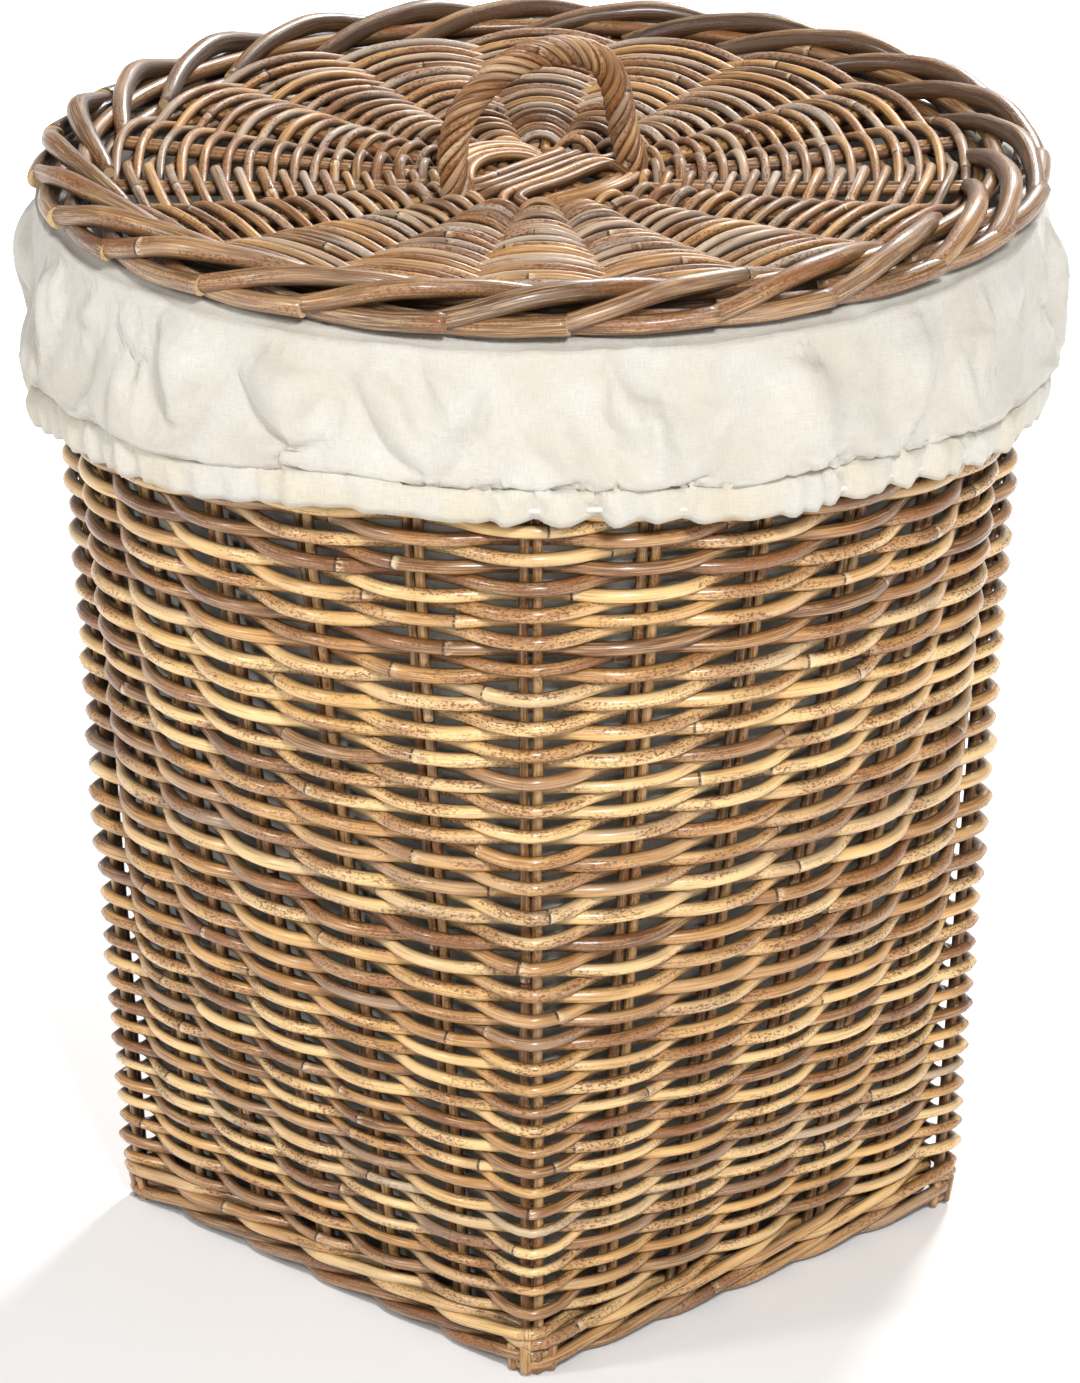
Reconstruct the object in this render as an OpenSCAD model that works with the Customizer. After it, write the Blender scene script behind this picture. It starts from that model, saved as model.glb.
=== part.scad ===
// Woven rattan laundry basket: square foot, round rim, loose cotton liner, loose woven lid.
// Millimetres, Z up, standing on Z = 0, centred on the Z axis, sides of the foot along X and Y.

/* [Basket] */
// centre-to-centre distance of the corner stakes at the foot
foot_side = 278; // [250:1:300]
// radius of the circle the stakes reach at the rim
rim_radius = 225; // [215:1:235]
// height of the centre of the rolled rim border
rim_height = 514; // [460:1:560]
// thickness of one upright stick; two stand side by side in every stake
stick_dia = 6; // [5:0.1:7]
// thickness of the woven wall over its weavers
wall_thick = 17; // [15:0.5:18]
// thickness of the rolled border at the rim
rim_border_dia = 18; // [16:0.5:20]

/* [Foot] */
// height of the rolled border that the basket stands on
foot_border_height = 9; // [7:0.5:12]
// height of the three-rod wale above the foot border
foot_wale_height = 17; // [12:0.5:24]
// thickness of the woven floor
floor_thick = 13; // [12:0.5:16]
// thickness of a floor stick
floor_stick_dia = 8; // [6:0.5:9]

/* [Liner] */
// thickness of the cotton
cloth = 2; // [1:0.1:2.5]
// radius of the folded-over cloth where it swells most
skirt_radius = 252; // [246:0.5:258]
// height of the lower edge of the folded-over cloth
hem_height = 430; // [380:1:440]
// thickness of the elastic cord in the hem
elastic_dia = 4; // [3:0.5:5]

/* [Lid] */
// outer radius of the lid
lid_radius = 240; // [238:0.5:246]
// height of one of the two tiers of the lid border
border_tier = 11; // [9:0.5:13]
// thickness of the woven plate of the lid
plate_thick = 15; // [14:0.5:16]
// thickness of one lid spoke
spoke_dia = 5.5; // [4.5:0.1:6]

/* [Handle] */
// half the distance between the feet of the handle
handle_reach = 50; // [49:0.5:54]
// thickness of the twisted handle
handle_dia = 15; // [13:0.5:17]
// thickness of the bent cane inside the twist
handle_core_dia = 8; // [6:0.5:9]
// height of the straight legs of the handle under its arch
handle_leg = 3; // [2:0.5:14]

/* [Hidden] */
$fn = 48;
GAP = 0.4;
SAME_BODY_GAP = 0.15;
STAKES = 24;
WALL_STEPS = 3;
PER_SIDE = 6;
CHANNEL_HALF = 0.17;
BAY_KNOTS = [-CHANNEL_HALF, 0, CHANNEL_HALF, 0.39, 0.61];
CORNER_EASE = 0.7;
FIRST_CORNER = -45;

CANE = [0.72, 0.53, 0.32];
CANE_DARK = [0.58, 0.41, 0.24];
CANE_PALE = [0.80, 0.63, 0.42];
COTTON = [0.93, 0.91, 0.86];
RUBBER = [0.85, 0.85, 0.82];

foot_half = foot_side / 2;
half_wall = wall_thick / 2;
pair_pitch = stick_dia + 0.4;
side_channel = stick_dia / 2 + 1.1;
corner_channel = stick_dia / 2 + 2.7;
stake_low = 2;
wale_top = foot_border_height + foot_wale_height;
weave_top = rim_height - rim_border_dia / 2 - SAME_BODY_GAP;
stake_top = weave_top - 1;

floor_low = foot_border_height - 4;
floor_high = floor_low + floor_thick;
floor_mid = floor_low + floor_thick / 2;
floor_half = foot_half - half_wall - SAME_BODY_GAP;
FLOOR_STICKS = 6;
floor_stick_pitch = 44;

fold_in = rim_border_dia / 2 + GAP;
fold_out = fold_in + cloth;
bag_low = floor_high + GAP;
bag_high = rim_height - SAME_BODY_GAP;
bag_off = -half_wall - 1;
skirt_high = rim_height - SAME_BODY_GAP;
skirt_top_in = rim_radius + fold_in;
hem_in = rim_radius + max(rim_border_dia / 2, half_wall) + 1.2;
hem_high = hem_height + 15;
elastic_height = hem_height + 5;
hem_pocket = elastic_dia + 2 * SAME_BODY_GAP;
hem_mid = hem_in + 4.5;

lid_low = rim_height + fold_out + GAP;
lid_split = lid_low + border_tier;
plate_mid = lid_low + 4;
plate_low = plate_mid - plate_thick / 2;
plate_high = plate_mid + plate_thick / 2;
plate_out = lid_radius - 40;
slath_out = 46;
ROD_SIDES = 16;
rod_layer = spoke_dia / 2 + 0.2;
rod_pitch = 7.4;
rod_offset = (spoke_dia + 0.4) / 2;
fan_start = 32;
hip_radius = 44;
spoke_end = plate_out - 1;
bye_start = 60;
SPOKE_STEP = 20;
SPOKE_AXIS = 96;
UPPER_RODS = 5;
LOWER_RODS = 4;
spoke_slot = 2 * spoke_dia + 1;
spoke_slot_half = rod_layer + 1.8;
binding_dia = 5;
binding_radius = fan_start + 3.5;
binding_height = rod_layer + (spoke_dia + binding_dia) / 2 + SAME_BODY_GAP;

handle_turn = 78;
handle_shift = [5, -5, 0];
leg_low = plate_high + SAME_BODY_GAP;
shoulder = leg_low + handle_leg;

// ---- shared geometry ----

// a point of the square foot section: side 0 to 3, fraction f along it, off outside the stakes
function square_point(side, f, off, ease) =
  let (
    s = foot_half + off * ease,
    p = [s, (foot_half + off) * (2 * f - 1)],
    q = (f <= 0) ? [s, -s] : p,
    a = 90 * side
  )
  [q[0] * cos(a) - q[1] * sin(a), q[0] * sin(a) + q[1] * cos(a)];

// the foot section at stake position u, where whole numbers are stakes and 0, 6, 12, 18 corners
function foot_point(u, off) =
  let (
    w = (u + STAKES) % STAKES,
    side = floor(w / PER_SIDE),
    f = (w - PER_SIDE * side) / PER_SIDE,
    ease = (f == 0 && off > half_wall - 1) ? CORNER_EASE : 1
  )
  square_point(side, f, off, ease);

function rim_point(u, off) =
  let (a = FIRST_CORNER + 360 * u / STAKES)
  [(rim_radius + off) * cos(a), (rim_radius + off) * sin(a)];

// a point of the wall between foot and rim, at height z
function wall_point(u, off, z) =
  let (
    t = z / rim_height,
    p = foot_point(u, off) * (1 - t) + rim_point(u, off) * t
  )
  [p[0], p[1], z];

function knot(i) = floor(i / len(BAY_KNOTS)) + BAY_KNOTS[i % len(BAY_KNOTS)];
KNOTS = STAKES * len(BAY_KNOTS);

// the half thickness of the channel for stake n
function channel(n) = (n % PER_SIDE == 0) ? corner_channel : side_channel;

// two triangles for the four-sided patch a b c d
function patch(a, b, c, d) = [[a, b, c], [a, c, d]];

// a closed band of the wall without channels, in the given number of steps
module plain_band(z0, z1, off_out, off_in, steps) {
  heights = [for (j = [0 : steps]) z0 + (z1 - z0) * j / steps];
  pts = [
    for (z = heights, off = [off_out, off_in], i = [0 : KNOTS - 1])
      wall_point(knot(i), off, z)
  ];
  top = 2 * KNOTS * steps;
  faces = [
    for (i = [0 : KNOTS - 1])
      let (w = (i + 1) % KNOTS)
      each concat(
        [
          for (j = [0 : steps - 1])
            let (k = 2 * KNOTS * j, m = k + 2 * KNOTS)
            each concat(
              patch(k + i, m + i, m + w, k + w),
              patch(
                k + KNOTS + i, k + KNOTS + w, m + KNOTS + w, m + KNOTS + i
              )
            )
        ],
        patch(top + i, top + KNOTS + i, top + KNOTS + w, top + w),
        patch(i, w, KNOTS + w, KNOTS + i)
      )
  ];
  polyhedron(points = pts, faces = faces);
}

// a closed band of the wall with one channel round every pair of stakes
module channelled_band(z0, z1, off_out, off_in, steps) {
  heights = [for (j = [0 : steps]) z0 + (z1 - z0) * j / steps];
  layer = 2 * KNOTS + 6 * STAKES;
  pts = [
    for (z = heights)
      each concat(
        [for (i = [0 : KNOTS - 1]) wall_point(knot(i), off_out, z)],
        [for (i = [0 : KNOTS - 1]) wall_point(knot(i), off_in, z)],
        [
          for (n = [0 : STAKES - 1], s = [1, -1], m = [-1 : 1])
            wall_point(n + m * CHANNEL_HALF, s * channel(n), z)
        ]
      )
  ];
  B = len(BAY_KNOTS);
  // outer knots from b on, inner knots from b + KNOTS on, then six channel points a stake
  caps = [
    for (n = [0 : STAKES - 1])
      let (
        o = n * B,
        q = KNOTS + n * B,
        c = 2 * KNOTS + 6 * n,
        d = 2 * KNOTS + 6 * ((n + 1) % STAKES),
        o_next = (o + B) % KNOTS,
        q_next = KNOTS + (o + B) % KNOTS
      )
      each concat(
        patch(o, o + 1, c + 1, c),
        patch(o + 1, o + 2, c + 2, c + 1),
        patch(q + 2, q + 1, c + 4, c + 5),
        patch(q + 1, q, c + 3, c + 4),
        patch(o + 3, o + 4, q + 4, q + 3),
        [
          [o + 2, o + 3, c + 2], [o + 3, c + 5, c + 2],
          [o + 3, q + 3, c + 5], [q + 3, q + 2, c + 5],
          [o + 4, o_next, d], [o + 4, d, d + 3],
          [o + 4, d + 3, q + 4], [q + 4, d + 3, q_next]
        ]
      )
  ];
  walls = [
    for (j = [0 : steps - 1])
      let (k = layer * j, m = k + layer)
      each concat(
        [
          for (i = [0 : KNOTS - 1])
            let (w = (i + 1) % KNOTS)
            each concat(
              patch(k + i, m + i, m + w, k + w),
              patch(
                k + KNOTS + i, k + KNOTS + w, m + KNOTS + w, m + KNOTS + i
              )
            )
        ],
        [
          for (n = [0 : STAKES - 1])
            let (c = 2 * KNOTS + 6 * n)
            each [
              for (e = [[0, 1], [1, 2], [2, 5], [5, 4], [4, 3], [3, 0]])
                each patch(
                  k + c + e[0], k + c + e[1], m + c + e[1], m + c + e[0]
                )
            ]
        ]
      )
  ];
  high = [
    for (f = caps)
      [for (i = [len(f) - 1 : -1 : 0]) f[i] + layer * steps]
  ];
  polyhedron(points = pts, faces = concat(caps, high, walls));
}

// a straight stick between two points
module stick(p, q, d) {
  v = q - p;
  len = norm(v);
  translate(p)
    rotate([0, acos(v[2] / len), atan2(v[1], v[0])])
      cylinder(h = len, d = d);
}

// ---- basket ----

// the two sticks of stake n, straight from foot to rim
module stake(n) {
  u = n - 1;
  rim_a = FIRST_CORNER + 360 * u / STAKES + 90;
  side_a = 90 * floor(u / PER_SIDE) + 90;
  mean_a = (u % PER_SIDE == 0) ? rim_a : (rim_a + side_a) / 2;
  o = [cos(mean_a), sin(mean_a), 0] * pair_pitch / 2;
  color(CANE_DARK)
    for (k = [-1, 1])
      stick(
        wall_point(u, 0, stake_low) + k * o,
        wall_point(u, 0, stake_top) + k * o,
        stick_dia
      );
}

module side_weave() {
  color(CANE)
    channelled_band(
      wale_top + SAME_BODY_GAP, weave_top, half_wall, -half_wall, WALL_STEPS
    );
}

module foot_wale() {
  color(CANE_DARK)
    channelled_band(
      foot_border_height + SAME_BODY_GAP, wale_top, half_wall, -half_wall, 1
    );
}

module foot_border() {
  color(CANE_DARK)
    channelled_band(0, foot_border_height, half_wall - 1, -half_wall, 1);
}

module rim_border() {
  color(CANE_DARK)
    translate([0, 0, rim_height])
      rotate_extrude($fn = 96)
        translate([rim_radius, 0])
          circle(d = rim_border_dia);
}

function floor_stick_y(n) = (n - (FLOOR_STICKS + 1) / 2) * floor_stick_pitch;

module floor_stick(n) {
  color(CANE_DARK)
    translate([-floor_half + 2, floor_stick_y(n), floor_mid])
      rotate([0, 90, 0])
        cylinder(h = 2 * floor_half - 4, d = floor_stick_dia);
}

module floor_weave() {
  bore = floor_stick_dia + 2 * SAME_BODY_GAP;
  color(CANE)
    difference() {
      translate([-floor_half, -floor_half, floor_low])
        cube([2 * floor_half, 2 * floor_half, floor_thick]);
      for (n = [1 : FLOOR_STICKS])
        translate([-floor_half - 1, floor_stick_y(n), floor_mid])
          rotate([0, 90, 0])
            cylinder(h = 2 * floor_half + 2, d = bore);
    }
}

// ---- liner ----

module liner_bag() {
  color(COTTON) plain_band(bag_low, bag_high, bag_off, bag_off - cloth, WALL_STEPS);
}

module liner_floor() {
  s = foot_half + bag_off - cloth - SAME_BODY_GAP;
  color(COTTON)
    translate([-s, -s, bag_low])
      cube([2 * s, 2 * s, cloth]);
}

module liner_fold() {
  color(COTTON)
    translate([0, 0, rim_height])
      rotate_extrude($fn = 96)
        intersection() {
          translate([rim_radius, 0])
            difference() {
              circle(r = fold_out);
              circle(r = fold_in);
            }
          translate([rim_radius - 2 * fold_out, 0])
            square([4 * fold_out, 2 * fold_out]);
        }
}

module liner_skirt() {
  low = hem_high + SAME_BODY_GAP;
  swell = low + 0.55 * (skirt_high - low);
  color(COTTON)
    rotate_extrude($fn = 96)
      polygon([
        [skirt_top_in, skirt_high],
        [skirt_radius - cloth - 2, swell + 15],
        [skirt_radius - cloth, swell],
        [skirt_radius - cloth - 2, swell - 20],
        [hem_mid + 1, low],
        [hem_mid + 1 + cloth, low],
        [skirt_radius - 2, swell - 20],
        [skirt_radius, swell],
        [skirt_radius - 2, swell + 15],
        [skirt_top_in + cloth, skirt_high]
      ]);
}

module liner_hem() {
  color(COTTON)
    rotate_extrude($fn = 96)
      difference() {
        polygon([
          [hem_in, hem_height],
          [hem_in + 8, hem_height],
          [hem_mid + 3, hem_high],
          [hem_mid - 1, hem_high],
          [hem_in, elastic_height + 5]
        ]);
        translate([hem_in + 4, elastic_height])
          circle(d = hem_pocket);
      }
}

module hem_elastic() {
  color(RUBBER)
    translate([0, 0, elastic_height])
      rotate_extrude($fn = 96)
        translate([hem_in + 4, 0])
          circle(d = elastic_dia);
}

// ---- lid ----

// which way end e (0 or 1) of rod n runs, in degrees
function rod_dir(n, e) =
  let (
    up = n <= UPPER_RODS,
    count = up ? UPPER_RODS : LOWER_RODS,
    k = (up ? n : n - UPPER_RODS) - (count + 1) / 2,
    axis = SPOKE_AXIS + (up ? 0 : 90),
    fan = (e == 0) ? -k * SPOKE_STEP : 180 + k * SPOKE_STEP
  )
  axis + fan;

// the place where end e of rod n leaves the centre cross
function rod_knee(n, e) =
  let (
    up = n <= UPPER_RODS,
    count = up ? UPPER_RODS : LOWER_RODS,
    k = (up ? n : n - UPPER_RODS) - (count + 1) / 2,
    axis = SPOKE_AXIS + (up ? 0 : 90),
    along = (e == 0) ? fan_start : -fan_start,
    across = -k * rod_pitch,
    z = plate_mid + (up ? rod_layer : -rod_layer)
  )
  [along * cos(axis) - across * sin(axis), along * sin(axis) + across * cos(axis), z];

function rod_tip(n, e, r) =
  let (a = rod_dir(n, e))
  [r * cos(a), r * sin(a), plate_mid];

// a round rod bent at the inner points of a path
module bent_rod(path, d) {
  n = len(path);
  pts = [
    for (i = [0 : n - 1], k = [0 : ROD_SIDES - 1])
      let (
        v = path[min(i + 1, n - 1)] - path[max(i - 1, 0)],
        t = v / norm(v),
        c = cross([0, 0, 1], t),
        s = c / norm(c),
        u = cross(t, s),
        a = 360 * k / ROD_SIDES
      )
      path[i] + d / 2 * (cos(a) * s + sin(a) * u)
  ];
  faces = concat(
    [[for (k = [0 : ROD_SIDES - 1]) k]],
    [[for (k = [0 : ROD_SIDES - 1]) n * ROD_SIDES - 1 - k]],
    [
      for (i = [0 : n - 2], k = [0 : ROD_SIDES - 1])
        let (
          p = i * ROD_SIDES,
          q = p + ROD_SIDES,
          w = (k + 1) % ROD_SIDES
        )
        each patch(p + k, q + k, q + w, p + w)
    ]
  );
  polyhedron(points = pts, faces = faces);
}

function beside(n, e) =
  let (a = rod_dir(n, e))
  [-sin(a), cos(a), 0] * rod_offset;

// the rod through the centre with its bends, then one short stick beside each of its ends
module lid_rod(n) {
  color(CANE_DARK) {
    bent_rod(
      [
        rod_tip(n, 0, spoke_end) - beside(n, 0),
        rod_tip(n, 0, hip_radius) - beside(n, 0),
        rod_knee(n, 0),
        rod_knee(n, 1),
        rod_tip(n, 1, hip_radius) - beside(n, 1),
        rod_tip(n, 1, spoke_end) - beside(n, 1)
      ],
      spoke_dia
    );
    for (e = [0, 1])
      stick(
        rod_tip(n, e, bye_start) + beside(n, e),
        rod_tip(n, e, spoke_end) + beside(n, e),
        spoke_dia
      );
  }
}

module plate_layer(z0, z1, slots) {
  translate([0, 0, z0])
    linear_extrude(z1 - z0)
      difference() {
        circle(r = plate_out, $fn = 96);
        circle(r = slath_out, $fn = 96);
        if (slots)
          for (k = [0 : 2 * (UPPER_RODS + LOWER_RODS) - 1])
            rotate(SPOKE_AXIS + SPOKE_STEP * k)
              translate([0, -spoke_slot / 2])
                square([plate_out + 5, spoke_slot]);
      }
}

module lid_weave() {
  color(CANE) {
    plate_layer(plate_low, plate_mid - spoke_slot_half, false);
    plate_layer(plate_mid - spoke_slot_half, plate_mid + spoke_slot_half, true);
    plate_layer(plate_mid + spoke_slot_half, plate_high, false);
  }
}

// the thick rounds that bind the centre cross from above and from below
module lid_binding() {
  color(CANE_PALE)
    for (k = [-1, 1])
      translate([0, 0, plate_mid + k * binding_height])
        rotate_extrude($fn = 96)
          translate([binding_radius, 0])
            circle(d = binding_dia);
}

module border_ring(r_in, r_out, z0, h) {
  e = 4;
  translate([0, 0, z0])
    rotate_extrude($fn = 96)
      union() {
        translate([r_in, e]) square([r_out - r_in, h - 2 * e]);
        translate([r_in + e, 0]) square([r_out - r_in - 2 * e, h]);
        for (x = [r_in + e, r_out - e], y = [e, h - e])
          translate([x, y]) circle(r = e);
      }
}

module lid_border_upper() {
  color(CANE_DARK)
    border_ring(
      plate_out + SAME_BODY_GAP, lid_radius - 1, lid_split + SAME_BODY_GAP, border_tier
    );
}

module lid_border_lower() {
  color(CANE_DARK)
    border_ring(plate_out + SAME_BODY_GAP, lid_radius, lid_low, border_tier);
}

// ---- handle ----

module on_handle() {
  translate(handle_shift)
    rotate([0, 0, handle_turn])
      children();
}

module handle_shape(d, bore) {
  on_handle() {
    for (k = [-1, 1])
      translate([k * handle_reach, 0, leg_low])
        linear_extrude(shoulder - leg_low)
          handle_section(d, bore);
    translate([0, 0, shoulder])
      rotate([90, 0, 0])
        rotate_extrude(angle = 180, $fn = 96)
          translate([handle_reach, 0])
            handle_section(d, bore);
  }
}

module handle_section(d, bore) {
  difference() {
    circle(d = d);
    if (bore > 0)
      circle(d = bore);
  }
}

module handle_core() {
  color(CANE_PALE) handle_shape(handle_core_dia, 0);
}

module handle_twist() {
  color(CANE) handle_shape(handle_dia, handle_core_dia + 2 * SAME_BODY_GAP);
}

// ---- the object ----

floor_stick(1);  // floor_stick_1
floor_stick(2);  // floor_stick_2
floor_stick(3);  // floor_stick_3
floor_stick(4);  // floor_stick_4
floor_stick(5);  // floor_stick_5
floor_stick(6);  // floor_stick_6
floor_weave();
foot_border();
foot_wale();
side_weave();
rim_border();
stake(1);  // stake_01
stake(2);  // stake_02
stake(3);  // stake_03
stake(4);  // stake_04
stake(5);  // stake_05
stake(6);  // stake_06
stake(7);  // stake_07
stake(8);  // stake_08
stake(9);  // stake_09
stake(10);  // stake_10
stake(11);  // stake_11
stake(12);  // stake_12
stake(13);  // stake_13
stake(14);  // stake_14
stake(15);  // stake_15
stake(16);  // stake_16
stake(17);  // stake_17
stake(18);  // stake_18
stake(19);  // stake_19
stake(20);  // stake_20
stake(21);  // stake_21
stake(22);  // stake_22
stake(23);  // stake_23
stake(24);  // stake_24
liner_bag();
liner_floor();
liner_fold();
liner_skirt();
liner_hem();
hem_elastic();
lid_rod(1);  // lid_rod_1
lid_rod(2);  // lid_rod_2
lid_rod(3);  // lid_rod_3
lid_rod(4);  // lid_rod_4
lid_rod(5);  // lid_rod_5
lid_rod(6);  // lid_rod_6
lid_rod(7);  // lid_rod_7
lid_rod(8);  // lid_rod_8
lid_rod(9);  // lid_rod_9
lid_weave();
lid_binding();
lid_border_upper();
lid_border_lower();
handle_core();
handle_twist();
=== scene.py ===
"""Woven laundry basket: rattan canes, cotton liner and loose lid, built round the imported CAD.

Everything is in metres in the CAD's own frame: Z up, standing on Z = 0, centred on the Z axis.
The front corner of the square foot points to azimuth -45 degrees, towards the camera.
"""

import math

import bpy
import numpy as np
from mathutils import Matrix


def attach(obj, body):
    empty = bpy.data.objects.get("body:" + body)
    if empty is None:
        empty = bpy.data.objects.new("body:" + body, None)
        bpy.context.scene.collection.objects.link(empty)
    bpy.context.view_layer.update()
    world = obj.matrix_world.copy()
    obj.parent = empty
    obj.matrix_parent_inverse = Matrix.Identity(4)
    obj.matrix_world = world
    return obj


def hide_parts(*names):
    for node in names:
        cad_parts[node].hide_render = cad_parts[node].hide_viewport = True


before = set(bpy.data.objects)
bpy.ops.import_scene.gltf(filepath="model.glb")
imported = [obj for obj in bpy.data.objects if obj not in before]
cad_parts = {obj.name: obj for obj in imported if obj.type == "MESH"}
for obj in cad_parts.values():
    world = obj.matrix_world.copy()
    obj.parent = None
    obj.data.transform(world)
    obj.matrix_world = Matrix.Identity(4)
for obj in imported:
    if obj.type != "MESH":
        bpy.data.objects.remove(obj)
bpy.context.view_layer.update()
RNG = np.random.default_rng(11)
UP = np.array([0.0, 0.0, 1.0])
TAU = 2 * math.pi

# ---- sizes shared with the CAD, in metres ----
STAKES = 24
PER_SIDE = 6
FOOT_HALF = 0.139  # the corner stakes, from the middle of the foot
RIM_RADIUS = 0.225
RIM_HEIGHT = 0.514
STICK_R = 0.0027
PAIR_HALF = 0.0030
WALE_TOP = 0.026
WEAVE_TOP = 0.5035
WEAVE_SWING = 0.0062  # how far a thick weaver's middle swings from the stake line
WEAVE_SPLIT = 0.262  # the weave is two pieces, below and above this height
THIN_R = 0.00262  # weavers near the foot
THICK_R = 0.0034  # weavers above the change of size
THIN_TOP = 0.10
THICK_BOTTOM = 0.18
GREY_BANDS = ((0.245, 0.026), (0.475, 0.035), (0.08, 0.012))  # height and width of weathered bands

FLOOR_MID = 0.0115
FLOOR_HALF = 0.1302
FLOOR_PITCH = 0.044
FLOOR_STICKS = 6

LID_LOW = 0.5258
PLATE_MID = 0.5335
PLATE_OUT = 0.200
PLATE_DISH = 0.0080
SPOKES = 18
SPOKE_AXIS = math.radians(96)
SPOKE_R = 0.0027
ROD_LAYER = 0.00295
ROD_PITCH = 0.0074
FAN_START = 0.032  # where the rods of the cross start to fan out
HIP_RADIUS = 0.044  # where a fanned rod has reached its own direction
BYE_START = 0.060  # where the second rod of each spoke starts
SPOKE_END = 0.202

HANDLE_TURN = math.radians(78)
HANDLE_SHIFT = np.array([0.0070, -0.0025, 0.0])


def soft_step(x):
    """Runs smoothly from 0 to 1 while x does."""
    x = np.clip(x, 0.0, 1.0)
    return x * x * (3 - 2 * x)


def unit(v):
    """Vectors scaled to length 1."""
    return v / np.maximum(np.linalg.norm(v, axis=-1, keepdims=True), 1e-12)


# ---- canes ----
class Canes:
    """Round canes swept along paths and gathered in one mesh, with the data their material reads."""

    def __init__(self):
        self.parts = []
        self.size = 0
        self.faces = []
        self.caps = []

    def add(
        self, path, radius, facing, sides=10, closed=False, shade=None, grey=0.0, slant=(0.0, 0.0), gap=1.0
    ):
        """One cane. facing points to its outside; slant shears its cut ends; gap spaces its knots."""
        path = np.asarray(path, float)
        n = len(path)
        radius = np.broadcast_to(np.asarray(radius, float), (n,)).copy()
        shade = RNG.random() if shade is None else shade
        if closed:
            tangent = unit(np.roll(path, -1, 0) - np.roll(path, 1, 0))
            steps = np.linalg.norm(np.roll(path, -1, 0) - path, axis=1)[:-1]
        else:
            tangent = unit(np.gradient(path, axis=0))
            steps = np.linalg.norm(np.diff(path, axis=0), axis=1)
        along = np.concatenate([[0.0], np.cumsum(steps)])
        knots = self.knots(along[-1], gap)
        near = along[:, None] - knots[None]
        knot = np.take_along_axis(near, np.abs(near).argmin(1)[:, None], 1)[:, 0]
        radius *= 1 + 0.06 * np.exp(-((knot / 0.0035) ** 2)) + self.wander(n, 0.02)
        side = np.broadcast_to(np.asarray(facing, float), (n, 3))
        side = unit(side - (side * tangent).sum(1, keepdims=True) * tangent)
        other = np.cross(tangent, side)
        a = np.arange(sides) * TAU / sides
        c, s = np.cos(a), np.sin(a)
        ring = radius[:, None, None] * (c[None, :, None] * side[:, None] + s[None, :, None] * other[:, None])
        verts = path[:, None] + ring
        if not closed:
            for end, lean in ((0, slant[0]), (-1, slant[1])):
                verts[end] += tangent[end] * (lean * radius[end] * c[:, None])
        local = np.empty((n, sides, 3))
        local[..., 0] = (along + RNG.random() * 50)[:, None]
        local[..., 1] = radius[:, None] * c + RNG.random() * 3
        local[..., 2] = radius[:, None] * s
        base = self.size
        self.size += n * sides
        rows = n if closed else n - 1
        i = np.arange(rows)[:, None]
        k = np.arange(sides)[None]
        j = (i + 1) % n
        m = (k + 1) % sides
        quads = np.stack([i * sides + k, i * sides + m, j * sides + m, j * sides + k], -1).reshape(-1, 4)
        self.faces.append(quads + base)
        if not closed:
            self.caps.append(base + np.arange(sides)[::-1])
            self.caps.append(base + (n - 1) * sides + np.arange(sides))
        ones = np.ones((n, sides))
        self.parts.append(
            (
                verts.reshape(-1, 3),
                local.reshape(-1, 3),
                (np.broadcast_to(shade, (n,))[:, None] * ones).ravel(),
                (np.broadcast_to(grey, (n,))[:, None] * ones).ravel(),
                (knot[:, None] * ones).ravel(),
                (c[None] * ones).ravel(),
            )
        )

    @staticmethod
    def knots(length, gap):
        """Where the leaf rings of a cane sit along it."""
        at = [RNG.uniform(-0.3, 0.1) * gap]
        while at[-1] < length + 0.1:
            at.append(at[-1] + RNG.uniform(0.18, 0.45) * gap)
        return np.array(at)

    @staticmethod
    def wander(n, size):
        """Slow thickness changes along a cane."""
        x = np.arange(n)
        total = np.zeros(n)
        for cycles in (2, 5, 9):
            total += np.sin(TAU * (x / n * cycles + RNG.random())) * size / cycles**0.5
        return total

    def build(self, name, material):
        verts, local, shade, grey, knot, out = (np.concatenate(x) for x in zip(*self.parts))
        quads = np.concatenate(self.faces)
        caps = self.caps
        cap_loops = np.concatenate(caps) if caps else np.empty(0, int)
        sizes = np.concatenate([np.full(len(quads), 4), [len(c) for c in caps]]).astype(np.int32)
        loops = np.concatenate([quads.ravel(), cap_loops]).astype(np.int32)
        me = bpy.data.meshes.new(name)
        me.vertices.add(len(verts))
        me.vertices.foreach_set("co", verts.astype(np.float32).ravel())
        me.loops.add(len(loops))
        me.loops.foreach_set("vertex_index", loops)
        me.polygons.add(len(sizes))
        me.polygons.foreach_set("loop_start", np.concatenate([[0], np.cumsum(sizes)[:-1]]).astype(np.int32))
        me.update(calc_edges=True)
        me.materials.append(material)
        me.materials.append(PITH)
        is_cap = np.arange(len(sizes)) >= len(quads)
        me.polygons.foreach_set("material_index", is_cap.astype(np.int32))
        flat = me.attributes.new("sharp_face", "BOOLEAN", "FACE")
        flat.data.foreach_set("value", is_cap)
        where = me.attributes.new("cane_co", "FLOAT_VECTOR", "POINT")
        where.data.foreach_set("vector", local.astype(np.float32).ravel())
        named = {"cane_shade": shade, "cane_grey": grey, "cane_knot": knot, "cane_out": out}
        for key, value in named.items():
            me.attributes.new(key, "FLOAT", "POINT").data.foreach_set("value", value.astype(np.float32))
        me.validate()
        ob = bpy.data.objects.new(name, me)
        bpy.context.scene.collection.objects.link(ob)
        return ob


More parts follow.
